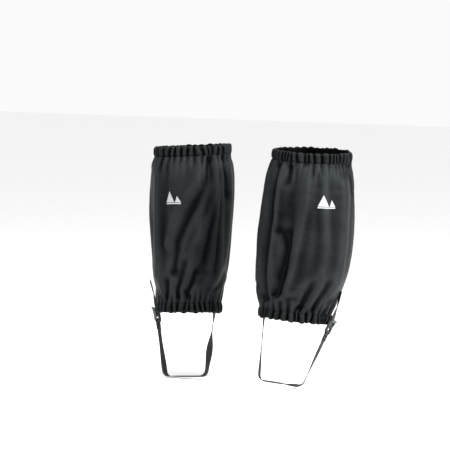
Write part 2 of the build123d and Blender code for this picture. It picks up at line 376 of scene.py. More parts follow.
def webbing_finish(name, dark, light):
    finish = Finish(name, Specular_IOR_Level=0.2)
    place, across, along = finish.cloth_place()
    zigzag = (across * (math.pi / ZIGZAG_WIDTH)).sine().size()
    ribs = ((along + zigzag * RIB_LEAN) * (2 * math.pi / RIB_PITCH)).sine()
    threads = (across * (2 * math.pi / WEBBING_THREAD)).sine()
    fuzz = finish.noise(place, 700.0, 3.0)
    soil = finish.noise(place, 45.0, 3.0)
    finish.set(Base_Color=finish.mix(0.3 + ribs * 0.25 + (soil - 0.5) * 0.9, shade(*dark), shade(*light)),
               Roughness=0.68 + (soil - 0.5) * 0.2,
               Normal=finish.bump(ribs * 0.7 + threads * 0.25 + fuzz * 0.5, 0.6, 0.00022))
    return finish.material


webbing = webbing_finish("webbing", (0.006, 0.0065, 0.007), (0.028, 0.030, 0.031))

# %% [markdown]
# ## Thread, elastic, print and plastic
# Sewing thread is a fine twisted cord, which shows as a fine grain. The elastic is braided. The mark is a
# matt grey transfer that takes the weave under it and is a little worn. The buckle is acetal, moulded with
# a fine spark texture and faint flow marks.

# %% Small finishes


def thread_finish():
    finish = Finish("thread", roughness=0.65, Specular_IOR_Level=0.1)
    place = finish.object_place()
    twist = finish.noise(place, 2600.0, 2.0)
    finish.set(Base_Color=finish.mix(twist, shade(0.002, 0.0021, 0.0022), shade(0.009, 0.0096, 0.010)),
               Normal=finish.bump(twist, 0.5, 0.0001))
    return finish.material


def elastic_finish():
    finish = Finish("elastic", roughness=0.75)
    place = finish.object_place()
    braid = finish.node("ShaderNodeTexWave", {"bands_direction": "Z"},
                        {"Vector": place, "Scale": 320.0, "Distortion": 2.0}, out="Fac")
    finish.set(Base_Color=finish.mix(braid, shade(0.02, 0.02, 0.02), shade(0.06, 0.06, 0.06)),
               Normal=finish.bump(braid, 0.5, 0.0003))
    return finish.material


def print_finish():
    finish = Finish("transfer_print", Specular_IOR_Level=0.35)
    place, across, along = finish.cloth_place()
    weave = plain_weave(across, along)
    wear = finish.noise(place, 380.0, 4.0)
    cracks = (wear - 0.36).math("LESS_THAN", 0.0)
    grey, worn = shade(0.25, 0.26, 0.27), shade(0.07, 0.073, 0.077)
    finish.set(Base_Color=finish.mix(cracks * 0.65 + (wear - 0.5) * 0.2, grey, worn),
               Roughness=0.55 + (wear - 0.5) * 0.2,
               Normal=finish.bump(weave + wear, 0.35, 0.00012))
    return finish.material


def moulded_finish():
    finish = Finish("moulded_plastic", Specular_IOR_Level=0.45)
    place = finish.object_place()
    spark = finish.noise(place, 2200.0, 3.0)
    flow = finish.noise(place, 60.0, 3.0)
    finish.set(Base_Color=finish.mix(flow, shade(0.012, 0.0125, 0.013), shade(0.026, 0.027, 0.028)),
               Roughness=0.40 + (flow - 0.5) * 0.25 + (spark - 0.5) * 0.1,
               Normal=finish.bump(spark, 0.35, 0.00012))
    return finish.material


def floor_finish():
    finish = Finish("paper_floor", roughness=0.8)
    grain = finish.noise(finish.object_place(), 30.0, 5.0)
    finish.set(Base_Color=finish.mix(grain, shade(0.90, 0.90, 0.90), shade(0.94, 0.94, 0.94)),
               Normal=finish.bump(grain, 0.05, 0.001))
    return finish.material


thread, elastic = thread_finish(), elastic_finish()
transfer_print, moulded_plastic = print_finish(), moulded_finish()


def dress(obj, material):
    obj.data.materials.clear()
    obj.data.materials.append(material)


def hand_over(obj, material, replaced, body=None):
    """Dresses a finished piece, hides the node it replaces and, unless it blends, attaches it to its body."""
    dress(obj, material)
    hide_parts(replaced)
    if body:
        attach(obj, body)


FLOOR_SIZE, FLOOR_GAP = 14, 0.4 * MM
deselect()
bpy.ops.mesh.primitive_plane_add(size=FLOOR_SIZE, location=(middle.x, middle.y, cad_low.z - FLOOR_GAP))
floor = bpy.context.object
floor.name = "floor"
dress(floor, floor_finish())
floor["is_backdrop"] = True

# %% [markdown]
# ## Reading the leg from the frame
# Cuff and hem are rings on a slanting axis. The frame's mounts say exactly where each ring is and which
# way it faces, and the CAD meshes say how wide the sleeve is at each height. All the cloth is laid out
# from these.

# %% The leg's own coordinates
SIDES = ("right", "left")
BAND_HEIGHT = 18 * MM         # of the hem and the cuff
MOUNTS = {m["name"]: m for m in frame["record"]["mounts"]}
JOINTS = {j["name"]: j for j in frame["joints"]}


class Leg:
    """One gaiter's axis, rings and widths, read from the frame."""

    def __init__(self, side):
        self.side = side
        self.outward = -1.0 if side == "right" else 1.0
        ankle, calf = MOUNTS[f"{side}_ankle_grip"], MOUNTS[f"{side}_calf_grip"]
        self.low, self.high = np.array(ankle["pos_m"]), np.array(calf["pos_m"])
        self.low_normal, self.high_normal = -np.array(ankle["axis"]), np.array(calf["axis"])
        self.height = np.linalg.norm(self.high - self.low)
        self.hem_radius = self.reach("hem_tunnel", self.low, self.low_normal)
        self.cuff_radius = self.reach("cuff_tunnel", self.high, self.high_normal)
        self.band = BAND_HEIGHT
        self.read_widths()

    def node(self, name):
        return frame["nodes"][f"{self.side}_{name}"]

    def reach(self, name, centre, normal):
        """The largest distance of a node's points from a line."""
        away = points_of(self.node(name)) - centre
        return np.linalg.norm(away - np.outer(away @ normal, normal), axis=1).max()

    def read_widths(self):
        """The sleeve's outer radius at each share of the axis, from the CAD sleeve."""
        axis = (self.high - self.low) / self.height
        away = points_of(self.node("sleeve")) - self.low
        share = away @ axis / self.height
        radius = np.linalg.norm(away - np.outer(away @ axis, axis), axis=1)
        bins = np.linspace(0.06, 0.94, 34)
        widest = [radius[np.abs(share - b) < 0.02].max() for b in bins]
        self.shares = np.concatenate([[0.0], bins, [1.0]])
        self.radii = np.concatenate([[self.hem_radius], widest, [self.cuff_radius]])

    def radius(self, share):
        return np.interp(share, self.shares, self.radii)

    def ring_axes(self, share):
        """Across and backwards directions and the normal of the ring at each share."""
        share = np.asarray(share, float)[..., None]
        normal = unit(self.low_normal * (1 - share) + self.high_normal * share)
        across = unit(np.stack([normal[..., 2], 0 * normal[..., 0], -normal[..., 0]], -1))
        return across, np.cross(normal, across), normal

    def place(self, turn, share, radius, lift=0.0):
        """Points at a turn from the front towards +X, a share of the axis, a radius, and a lift off it."""
        turn, share = np.broadcast_arrays(np.asarray(turn, float), np.asarray(share, float))
        across, backwards, normal = self.ring_axes(share)
        centre = self.low + (self.high - self.low) * share[..., None]
        out = across * np.sin(turn)[..., None] - backwards * np.cos(turn)[..., None]
        lift = np.broadcast_to(lift, share.shape)[..., None]
        return centre + out * np.asarray(radius)[..., None] + normal * lift


LEGS = {side: Leg(side) for side in SIDES}
for leg in LEGS.values():
    sizes = {"hem": leg.hem_radius, "cuff": leg.cuff_radius, "widest": leg.radii.max()}
    print(leg.side, {name: round(float(radius), 4) for name, radius in sizes.items()})

# %% [markdown]
# ## Pleats
# Elastic that is sewn in stretched and then let go draws the cloth into small upright pleats, no two the
# same. A pleat is round on top and sharp in its valley. The widths are drawn from a seeded generator, so
# the result is the same on each run. Band and sleeve share one set of pleats: the same cloth is on both
# sides of the seam.

# %% Pleats round a ring


class Pleats:
    """Irregular pleats round a ring, as a height from 0 in a valley to about 1 on a crest."""

    def __init__(self, seed, circumference, pitch):
        chance = np.random.default_rng(seed)
        count = int(circumference / pitch)
        widths = chance.uniform(0.55, 1.5, count)
        self.edges = np.concatenate([[0], np.cumsum(widths)]) / widths.sum() * 2 * math.pi - math.pi
        self.heights = np.clip(widths, 0.6, 1.3) * chance.uniform(0.75, 1.1, count)
        self.reach = chance.uniform(0.4, 1.6, count)
        self.dips = chance.uniform(-1, 1, count)

    def find(self, turn):
        turn = (np.asarray(turn) + math.pi) % (2 * math.pi) - math.pi
        index = np.clip(np.searchsorted(self.edges, turn, side="right") - 1, 0, len(self.heights) - 1)
        inside = (turn - self.edges[index]) / (self.edges[index + 1] - self.edges[index])
        return index, np.clip(inside, 0, 1)

    def height(self, turn):
        index, inside = self.find(turn)
        return self.heights[index] * np.sin(math.pi * inside) ** 0.9

    def value(self, turn, table):
        """A per-pleat value, run smoothly from one pleat to the next."""
        index, inside = self.find(turn)
        beside = np.where(inside < 0.5, index - 1, index + 1) % len(table)
        share = np.abs(inside - 0.5)
        return table[index] * (1 - share) + table[beside] * share


PLEAT_DEPTH = 5.2 * MM        # from a valley to a usual crest
VALLEY = -2.3 * MM            # of the band's valleys from the tunnel's outer wall
PLEATS = {}
for number, leg in enumerate(LEGS.values()):
    PLEATS[leg.side, "hem"] = Pleats(11 + number, 2 * math.pi * leg.hem_radius, 9.0 * MM)
    PLEATS[leg.side, "cuff"] = Pleats(31 + number, 2 * math.pi * leg.cuff_radius, 9.8 * MM)

# %% [markdown]
# ## Sleeve
# The sleeve is one panel, cut wider and longer than the space it hangs in, rolled and sewn at the back.
# Cloth simulation gives it natural folds: the panel's true cut size is its rest shape, its ends are pinned
# to the pleated rings, and it settles into the smaller space. A few broad folds that the wearer's leg
# makes are pressed in first, so that the cloth finds them. Modelling every fold by hand would look carved.

# %% Folds pressed in before the cloth settles
SEW_INSET = 2.0 * MM          # of the sewing line from the band's edge
FOLD_WIDTH = 1.15             # softens all the folds alike


def fold_field(leg, turn, share, folds):
    """Sum of the folds' depths at each place. A fold is depth and width in millimetres, and a path of
    (degrees from the front towards +X, share of the height)."""
    spread = leg.radii.max()
    around = 2 * math.pi * spread
    x, y = turn * spread, share * leg.height
    total = np.zeros_like(x)
    for depth, width, *path in folds:
        corners = [(math.radians(a) * spread, s * leg.height) for a, s in path]
        nearest = np.full_like(x, 1e9)
        for (ax, ay), (bx, by) in zip(corners, corners[1:]):
            dx, dy = bx - ax, by - ay
            for lap in (-around, 0, around):      # a fold runs on past the back seam
                along = np.clip(((x + lap - ax) * dx + (y - ay) * dy) / (dx * dx + dy * dy), 0, 1)
                nearest = np.minimum(nearest, np.hypot(x + lap - ax - along * dx, y - ay - along * dy))
        total += depth * MM * np.exp(-(nearest / (width * FOLD_WIDTH * MM)) ** 2)
    return total


FOLDS = {
    "right": [
        (-7.0, 7, (62, 1.0), (60, 0.84), (50, 0.78), (30, 0.60), (12, 0.42), (6, 0.20)),
        (3.5, 8, (44, 0.80), (14, 0.62), (-2, 0.40)),
        (3.0, 6, (74, 0.80), (60, 0.62), (34, 0.40), (28, 0.12)),
        (-6.5, 6, (88, 1.0), (94, 0.86), (98, 0.72)),
        (2.5, 4, (-21, 1.0), (-22, 0.60), (-16, 0.05)),
        (2.5, 4, (73, 0.72), (72, 0.30)),
        (-5.0, 6, (24, 0.28), (14, 0.10), (14, 0.0)),
        (-4.5, 5, (44, 0.22), (34, 0.08), (33, 0.0)),
        (-4.0, 5, (-6, 0.16), (-8, 0.0)),
        (-4.0, 6, (120, 0.95), (126, 0.55), (118, 0.25)),
        (-5.0, 7, (-60, 0.90), (-72, 0.60), (-62, 0.30)),
        (4.0, 8, (-120, 0.85), (-108, 0.45), (-112, 0.15)),
        (-5.0, 8, (160, 0.75), (172, 0.45), (158, 0.15)),
        (-5.0, 8, (-150, 0.9), (-145, 0.6), (-160, 0.3)),
    ],
    "left": [
        (-6.0, 9, (-22, 1.0), (-26, 0.70), (-24, 0.40), (-22, 0.08)),
        (4.0, 5, (-11, 1.0), (-12, 0.70), (-11, 0.40), (-8, 0.10)),
        (-6.0, 5, (2, 0.98), (3, 0.86)),
        (3.5, 6, (26, 0.95), (31, 0.72), (26, 0.62), (24, 0.48), (23, 0.34), (12, 0.10)),
        (-10.5, 9, (10, 0.50), (14, 0.44), (9, 0.30), (1, 0.12)),
        (-5.0, 6, (-8, 0.54), (12, 0.55)),
        (-5.0, 6, (52, 0.20), (42, 0.06), (40, 0.0)),
        (-4.5, 5, (74, 0.22), (60, 0.0)),
        (3.0, 6, (60, 0.28), (50, 0.02)),
        (3.0, 10, (84, 0.85), (88, 0.45), (82, 0.15)),
        (-4.0, 6, (104, 1.0), (110, 0.80)),
        (-5.0, 8, (130, 0.80), (142, 0.50), (128, 0.20)),
        (-5.0, 8, (-70, 0.9), (-80, 0.6), (-66, 0.25)),
        (-5.0, 8, (-120, 0.75), (-132, 0.45), (-118, 0.15)),
        (4.0, 8, (170, 0.85), (178, 0.5), (168, 0.2)),
    ],
}

# %% [markdown]
# ### Rolling the panel
# The flat panel is rolled into a tube that is narrow at both gathered rings and widest in between. Near
# each ring it carries the ring's own pleats, which fade away from the sewing line, some sooner than
# others. The tube keeps each vertex's turn and height, so that later steps still know where it was on the
# flat cloth.

# %% Roll the panel and press the folds
SLEEVE_COLUMNS, SLEEVE_ROWS = 150, 80
CUT_EASE, CUT_SLACK = 1.05, 1.045     # cloth over the widest ring and over the height
CREST_ROOM = 1.6 * MM         # the mean width lies this far inside the widest one
HEM_FLARE, CUFF_FLARE = 0.62, 0.30    # widening beside a band, over the distance from it
FOLD_DEPTH = 1.55
MIDDLE_HEIGHT = 0.55          # a pleat's mean height, over a usual crest's
PUCKERS_LEAST, PUCKERS_MORE = 8, 15   # millimetres, how far pleats run on into the sleeve


def end_ring(leg, end):
    return (leg.hem_radius if end == "hem" else leg.cuff_radius) + VALLEY + MIDDLE_HEIGHT * PLEAT_DEPTH


def mean_width(leg, height):
    """The sleeve's mean radius: the frame's, less room for crests, and the gathered ring's at each end."""
    from_hem, from_cuff = height * leg.height - leg.band / 2, (1 - height) * leg.height - leg.band / 2
    wide = leg.radius(height) - CREST_ROOM
    hem = end_ring(leg, "hem") + HEM_FLARE * np.maximum(from_hem, 0)
    cuff = end_ring(leg, "cuff") + CUFF_FLARE * np.maximum(from_cuff, 0)
    soft = 1.5 * MM
    nearest = np.minimum(hem, cuff)
    return (wide + nearest - np.sqrt((wide - nearest) ** 2 + soft ** 2)) / 2


def sleeve_shape(leg, turn, share):
    """Where the gathered sleeve's cloth is at a turn and a share between its two sewing lines."""
    sewn = (leg.band / 2 - SEW_INSET) / leg.height
    height = sewn + share * (1 - 2 * sewn)
    from_hem, from_cuff = share * leg.height, (1 - share) * leg.height
    radius = mean_width(leg, height)
    for end, distance in (("hem", from_hem), ("cuff", from_cuff)):
        pleats = PLEATS[leg.side, end]
        length = (PUCKERS_LEAST + PUCKERS_MORE * pleats.value(turn, pleats.reach)) * MM
        fade = np.exp(-(distance / length) ** 1.4)
        radius = radius + PLEAT_DEPTH * (pleats.height(turn) - MIDDLE_HEIGHT) * fade
    ends = np.clip(np.minimum(from_hem, from_cuff) / (10 * MM), 0, 1)
    radius = radius + FOLD_DEPTH * fold_field(leg, turn, share, FOLDS[leg.side]) * ends
    return leg.place(turn, height, radius)


def sleeve_panel(leg):
    width = 2 * math.pi * leg.radii.max() * CUT_EASE
    length = (leg.height - leg.band + 2 * SEW_INSET) * CUT_SLACK
    panel = flat_panel(f"{leg.side}_sleeve_cloth", SLEEVE_COLUMNS, SLEEVE_ROWS, width, length)
    across, along = grid_shares(panel)
    turn = (across - 0.5) * 2 * math.pi
    set_points(panel, sleeve_shape(leg, turn, along))
    shares = panel.data.attributes.new("shares", "FLOAT_VECTOR", "POINT")
    shares.data.foreach_set("vector", np.stack([turn, along, 0 * along], 1).astype(np.float32).ravel())
    sew(panel)
    return panel, width, length


def read_shares(obj):
    """Turn and share of each vertex, kept from the flat panel."""
    flat = np.zeros(len(obj.data.vertices) * 3)
    obj.data.attributes["shares"].data.foreach_get("vector", flat)
    rows = flat.reshape(-1, 3)
    return rows[:, 0], rows[:, 1]


# %% [markdown]
# ### Letting the cloth settle
# The cloth starts in its pressed shape and is told that its threads are a little longer than that, as the
# real cut is. The sewn ends hold still, a little air pressure stands in for the leg, and the spare cloth
# buckles into folds that no one has to draw. Afterwards each height is brought back to the width that the
# frame gives the sleeve.

# %% Simulate
SETTLE_FRAMES = 24
SPARE_WIDTH, SPARE_HEIGHT = 1.035, 1.02   # the threads' own length over the pressed shape's
MOST_OUT, MOST_IN = 6.5 * MM, 16.0 * MM   # of a fold, from the mean width


def from_axis(leg, points):
    """Share of the height, radius, and outward arrow of each point, from the leg's axis."""
    axis = (leg.high - leg.low) / leg.height
    away = points - leg.low
    outward = away - np.outer(away @ axis, axis)
    radius = np.linalg.norm(outward, axis=1)
    return away @ axis / leg.height, radius, outward / radius[:, None]


def settle_cloth(piece, leg):
    _, share = read_shares(piece)
    start = points_of(piece)
    height, radius, outward = from_axis(leg, start)
    wider = outward * (radius * (SPARE_WIDTH - 1))[:, None]
    longer = start + wider + np.outer((height - 0.5) * (SPARE_HEIGHT - 1), leg.high - leg.low)
    pins = piece.vertex_groups.new(name="sewn_ends")
    pins.add([int(i) for i in np.flatnonzero((share < 0.001) | (share > 0.999))], 1.0, "REPLACE")
    piece.shape_key_add(name="gathered")
    rest = piece.shape_key_add(name="cut")
    rest.data.foreach_set("co", longer.ravel())
    cloth = piece.modifiers.new("Cloth", "CLOTH")
    settings = cloth.settings
    settings.quality, settings.mass = 7, 0.15
    settings.tension_stiffness = settings.compression_stiffness = 15
    settings.shear_stiffness, settings.bending_stiffness = 4, 1.2
    settings.air_damping = 2.0
    settings.vertex_group_mass = "sewn_ends"
    settings.rest_shape_key = rest
    settings.use_pressure, settings.uniform_pressure_force = True, 0.4
    settings.effector_weights.gravity = 0.3
    cloth.point_cache.frame_start, cloth.point_cache.frame_end = 1, SETTLE_FRAMES
    for step in range(1, SETTLE_FRAMES + 1):
        scene.frame_set(step)
    settled = points_of(piece.evaluated_get(bpy.context.evaluated_depsgraph_get()))
    piece.modifiers.clear()
    piece.shape_key_clear()
    scene.frame_set(1)
    moved = float(np.linalg.norm(settled - start, axis=1).max())
    print(piece.name, "moved up to", round(moved / MM, 1), "mm")
    set_points(piece, settled)


def hold_width(piece, leg):
    """Brings each height back to the sleeve's own width, and keeps the folds near it."""
    points = points_of(piece)
    height, radius, outward = from_axis(leg, points)
    edge = (leg.band / 2 - SEW_INSET) / leg.height
    stations = np.linspace(edge, 1 - edge, 80)
    mean = np.array([radius[np.abs(height - s) < 0.012].mean() for s in stations])
    fold = radius - np.interp(height, stations, mean)
    wanted = mean_width(leg, height) + np.clip(fold, -MOST_IN, MOST_OUT)
    ease = np.clip((np.minimum(height, 1 - height) - edge) * leg.height / (4 * MM), 0, 1)
    set_points(piece, points + outward * ((wanted - radius) * ease)[:, None])


def neighbours(obj):
    edges = np.zeros(len(obj.data.edges) * 2, int)
    obj.data.edges.foreach_get("vertices", edges)
    return edges.reshape(-1, 2)


def blur(values, edges, rounds, share=None):
    """Averages each vertex's value with its neighbours', as often as rounds, by a share for each vertex."""
    values = values.copy()
    count = np.bincount(edges.ravel(), minlength=len(values)).reshape(-1, *[1] * (values.ndim - 1))
    for _ in range(rounds):
        total = np.zeros_like(values)
        np.add.at(total, edges[:, 0], values[edges[:, 1]])
        np.add.at(total, edges[:, 1], values[edges[:, 0]])
        mean = total / count
        values = mean if share is None else values + (mean - values) * share
    return values


RELAX_HELD, RELAX_EASE, RELAX_MOST = 0.45, 34 * MM, 0.8     # how smoothing starts away from the sewn ends


def relax(piece, leg, rounds):
    """Smooths the cloth away from its gathered ends, where it is free to spread."""
    _, share = read_shares(piece)
    free = np.clip(np.minimum(share, 1 - share) * leg.height / RELAX_EASE - RELAX_HELD, 0, 1)
    set_points(piece, blur(points_of(piece), neighbours(piece), rounds, (free * RELAX_MOST)[:, None]))


def mark_crests(obj, reach, depth, level):
    """Stores how far each vertex stands out from its surroundings. The cloth's finish reads it as painted light:
    a painted highlight on crests and painted shade in valleys. Flat cloth gets level, and cloth that stands
    out by depth gets 1 more."""
    points, edges = points_of(obj), neighbours(obj)
    normals = np.zeros(len(points) * 3)
    obj.data.vertices.foreach_get("normal", normals)
    stands = np.einsum("ij,ij->i", points - blur(points, edges, reach), normals.reshape(-1, 3))
    crest = obj.data.attributes.get("crest") or obj.data.attributes.new("crest", "FLOAT", "POINT")
    crest.data.foreach_set("value", np.clip(level + blur(stands, edges, 2) / depth, 0, 1).astype(np.float32))


sleeves, sleeve_cuts = {}, {}
for leg in LEGS.values():
    piece, width, length = sleeve_panel(leg)
    settle_cloth(piece, leg)
    relax(piece, leg, rounds=6)
    hold_width(piece, leg)
    subdivided(piece)
    # the crest values paint a highlight on the sleeve's fold crests and shade in their valleys
    mark_crests(piece, reach=14, depth=0.95 * MM, level=0.56)
    sleeves[leg.side], sleeve_cuts[leg.side] = piece, (width, length)
    print(piece.name, len(piece.data.vertices), "vertices, cut", round(width, 3), "x", round(length, 3), "m")

# %% [markdown]
# ## Laying trim on the cloth
# Seam tape, stitches and the printed mark lie on the settled folds, so each of their points is found by
# looking in from outside, along a level line towards the leg's axis, until the cloth is met.

# %% Find places on a surface


class Skin:
    """A settled surface that trim is laid on."""

    def __init__(self, obj):
        mesh = obj.data
        corners = [v.co.copy() for v in mesh.vertices]
        self.tree = BVHTree.FromPolygons(corners, [p.vertices[:] for p in mesh.polygons])

    def under(self, leg, turn, height, lift=0.0, reach=0.13):
        """The outermost point at a turn and a share of the height, raised by lift, and the face's normal."""
        outside = leg.place(turn, height, reach).reshape(3)
        inside = leg.place(turn, height, 0.02).reshape(3)
        towards = Vector(inside - outside).normalized()
        hit, normal, _, _ = self.tree.ray_cast(Vector(outside), towards)
        normal = -normal if normal.dot(towards) > 0 else normal
        return np.array(hit + normal * lift), np.array(normal)


skins = {side: Skin(piece) for side, piece in sleeves.items()}


def lay(panel, leg, turns, heights, lift):
    """Moves a flat panel's points onto the sleeve, each at its own turn and share of the height."""
    skin = skins[leg.side]
    set_points(panel, [skin.under(leg, t, h, lift)[0] for t, h in zip(turns, heights)])


# %% [markdown]
# ## Elastic bands at cuff and hem
# Each end of the sleeve is turned over the elastic and sewn down, which makes a puffy ruffled band. Its
# section is a closed loop: out over the elastic, round the folded edge and back inside to the sewing line.
# A grid is rolled both round the leg and round that section, then given the cloth's thickness. A plain
# ring with bump would stay straight at its edge, and a real one doesn't. Where the adjuster is sewn over
# the hem, the pleats lie flat.

# %% Ruffled bands
BAND_COLUMNS, BAND_ROWS = 330, 20
CLOTH_THICKNESS = 0.35 * MM
BAND_FULLNESS = 1.25          # cloth in a band over its circumference
BAND_SECTION = 2.15           # cloth round a band's section over its height
PRESSED_HALF, PRESSED_HEIGHT = 11 * MM, 0.56      # of the flat place, and its height as a pleat's
MIDDLE_OF_BAND = 3.0 * MM     # of the band's section, inside its outer wall
INNER_LEAF = 0.8 * MM         # of the inner cloth, inside the section's middle
LEAN = 0.04                   # radians, of the ruffles from the sewing line to the edge
EDGE_SPREAD, EDGE_DIP, EDGE_VARIES = 0.8 * MM, 1.7 * MM, 0.9 * MM     # unevenness of the folded edge
SEWN_HALF, SEWN_SHARE = 1.4 * MM, 0.25            # the ruffles' pinch beside the stitching


def band_section(share):
    """Outward and rising place on the band's section, from -1 to 1, for a share of the way round it."""
    angle = share * 2 * math.pi
    out, rise = np.sin(angle), np.cos(angle)
    return np.sign(out) * np.abs(out) ** 0.5, np.sign(rise) * np.abs(rise) ** 0.7


def pressed_at_strap(leg, turn, height):
    """The adjuster's webbing is sewn over the hem, and presses the pleats flat there."""
    away = np.abs((turn - leg.outward * math.pi / 2 + math.pi) % (2 * math.pi) - math.pi) * leg.hem_radius
    pressed = np.exp(-(away / PRESSED_HALF) ** 4)
    return height * (1 - pressed) + PRESSED_HEIGHT * pressed


def ruffled_band(leg, end):
    share, radius, mouth = (0.0, leg.hem_radius, 1) if end == "hem" else (1.0, leg.cuff_radius, -1)
    pleats = PLEATS[leg.side, end]
    cut = (2 * math.pi * radius * BAND_FULLNESS, leg.band * BAND_SECTION)
    panel = flat_panel(f"{leg.side}_{end}_band", BAND_COLUMNS, BAND_ROWS, *cut)
    across, along = grid_shares(panel)
    turn = (across - 0.5) * 2 * math.pi
    out, rise = band_section(along)
    varied = pleats.value(turn, pleats.dips)
    wander = varied * LEAN * rise
    height = pleats.height(turn + wander)
    if end == "hem":
        height = pressed_at_strap(leg, turn, height)
    edge = np.clip(-rise, 0, 1)
    outer, inner = np.clip(out, 0, 1), np.clip(-out, 0, 1)
    sewn = np.exp(-(((rise - 0.75) * leg.band / 2) / SEWN_HALF) ** 2)
    spread = radius - MIDDLE_OF_BAND + outer * (MIDDLE_OF_BAND + VALLEY) - inner * INNER_LEAF
    spread = spread + PLEAT_DEPTH * height * outer * (1 - SEWN_SHARE * sewn)
    spread = spread - 0.3 * MM * (height - 0.5) * inner + EDGE_SPREAD * varied * outer * edge
    dips = (height - 0.45) * EDGE_DIP + varied * EDGE_VARIES
    lift = mouth * (rise * leg.band / 2 - edge * dips)
    set_points(panel, leg.place(turn, np.full_like(turn, share), spread, lift))
    sew(panel)
    subdivided(panel)
    # level 0 puts painted shade in every ruffle valley and a painted highlight on each ruffle crest
    mark_crests(panel, reach=4, depth=0.25 * MM, level=0.0)
    return panel, cut


band_skins = {}
for leg in LEGS.values():
    for end in ("hem", "cuff"):
        band, cut = ruffled_band(leg, end)
        band_skins[leg.side, end] = Skin(band)
        add_modifier(band, "SOLIDIFY", thickness=CLOTH_THICKNESS, offset=-1)
        smooth(band, 180)
        hand_over(band, gathered_nylon_shaded, f"{leg.side}_{end}_tunnel", f"{leg.side}_{end}")

# %% [markdown]
# ### The elastic itself
# Inside each band runs a flat braided elastic. It is thinner than its tunnel, so that the cloth can fold
# down to it between two pleats. It is a closed flat ring, rolled from a grid like the cloth.

# %% Elastics
ELASTIC_OUTER = -2.75 * MM    # of its outer face from the tunnel's outer wall
ELASTIC_THICK, ELASTIC_HALF = 0.8 * MM, 6.4 * MM
ELASTIC_COLUMNS, ELASTIC_ROWS = 180, 16


def elastic_ring(leg, end):
    share, radius = (0.0, leg.hem_radius) if end == "hem" else (1.0, leg.cuff_radius)
    cut = (2 * math.pi * radius, 4 * ELASTIC_HALF)
    ring = flat_panel(f"{leg.side}_{end}_elastic_braid", ELASTIC_COLUMNS, ELASTIC_ROWS, *cut)
    across, along = grid_shares(ring)
    turn = (across - 0.5) * 2 * math.pi
    angle = along * 2 * math.pi
    out = np.sign(np.sin(angle)) * np.abs(np.sin(angle)) ** 0.5
    rise = np.sign(np.cos(angle)) * np.abs(np.cos(angle)) ** 0.4
    depth = radius + ELASTIC_OUTER - ELASTIC_THICK / 2 + out * ELASTIC_THICK / 2
    set_points(ring, leg.place(turn, np.full_like(turn, share), depth, rise * ELASTIC_HALF))
    sew(ring)
    smooth(ring, 50)
    hand_over(ring, elastic, f"{leg.side}_{end}_elastic", f"{leg.side}_{end}")


for leg in LEGS.values():
    for end in ("hem", "cuff"):
        elastic_ring(leg, end)

# %% [markdown]
# ## Stitches
# A lockstitch row shows as short threads that dive into the cloth at each end. One stitch is modelled, a
# small rounded bar, and copied along the row, each copy turned along the row and lying on the cloth. A
# continuous tube would look like a cord laid on the surface.

# %% One stitch, and rows of it
deselect()
bpy.ops.mesh.primitive_cylinder_add(vertices=6, radius=0.5, depth=1.0, rotation=(math.pi / 2, 0, 0))
stitch_model = bpy.context.object
bpy.ops.object.transform_apply(rotation=True)
bpy.ops.object.mode_set(mode="EDIT")
bpy.ops.mesh.bevel(offset=0.16, segments=1, affect="EDGES")
bpy.ops.object.mode_set(mode="OBJECT")
STITCH_POINTS = points_of(stitch_model)
STITCH_FACES = [p.vertices[:] for p in stitch_model.data.polygons]
bpy.data.objects.remove(stitch_model)


def stitches(name, places, replaced, body=None, length=2.6 * MM, thick=0.55 * MM):
    """One piece of many stitches. A place is a middle, the direction of the thread and the cloth's normal."""
    points, faces = [], []
    for middle, along, normal in places:
        along = unit(along)
        normal = unit(normal - along * (normal @ along))
        frame_rows = np.stack([np.cross(along, normal) * thick, along * length, normal * thick])
        faces += [[i + len(points) * len(STITCH_POINTS) for i in face] for face in STITCH_FACES]
        points.append(STITCH_POINTS @ frame_rows + middle)
    row = bpy.data.objects.new(name, bpy.data.meshes.new(name))
    row.data.from_pydata(np.concatenate(points).tolist(), [], faces)
    scene.collection.objects.link(row)
    sew(row, 0.000001)
    smooth(row)
    hand_over(row, thread, replaced, body)
    print(name, len(places), "stitches")
    return row


def ring_row(leg, end, pitch=3.4 * MM, inset=2.3 * MM):
    share, radius, mouth = (0.0, leg.hem_radius, 1) if end == "hem" else (1.0, leg.cuff_radius, -1)
    count = int(2 * math.pi * radius / pitch)
    turns = np.linspace(-math.pi, math.pi, count, endpoint=False)
    level = mouth * (leg.band / 2 - inset) / leg.height
    hits = [band_skins[leg.side, end].under(leg, t, share + level, 0.08 * MM) for t in turns]
    middles = np.array([hit for hit, _ in hits])
    along = np.roll(middles, -1, 0) - np.roll(middles, 1, 0)
    normals = np.array([normal for _, normal in hits])
    places = list(zip(middles, along, normals))
    stitches(f"{leg.side}_{end}_stitches", places, f"{leg.side}_{end}_stitching", f"{leg.side}_{end}")


for leg in LEGS.values():
    for end in ("hem", "cuff"):
        ring_row(leg, end)

# %% [markdown]
# ## Back seam
# The panel's two edges meet at the back in a felled seam: a narrow strip, a little proud, with two rows of
# stitching. It follows every fold of the sleeve, so it is laid on the settled cloth.

# %% Seam tape and its stitches
SEAM_WIDTH, SEAM_ROWS_APART = 9 * MM, 6 * MM
SEAM_COLUMNS, SEAM_ROWS = 12, 150
SEAM_END_GAP = 0.2 * MM       # from the seam's end to the band
SEAM_THICK = 0.3 * MM
SEAM_LIFT, SEAM_CROWN, SEAM_DIMPLE = 0.4, 0.5, 0.2      # millimetres off the cloth: edge, middle, at a stitch
SEAM_STITCH_PITCH, SEAM_STITCH_LIFT = 3.4 * MM, 0.85 * MM
BEHIND = math.pi


def sewn_shares(leg):
    """Shares of the height where the sleeve is sewn to its bands."""
    edge = (leg.band / 2 - SEW_INSET) / leg.height
    return edge, 1 - edge


def with_sleeve(piece, leg):
    """Bakes a piece's transform into its mesh. The sewn heights at the hem and the cuff are worked out but not
    used.
    """
    low, high = sewn_shares(leg)
    tuple(leg.place(0.0, low, 0.0).reshape(3))
    tuple(leg.place(0.0, high, 0.0).reshape(3))
    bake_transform(piece)


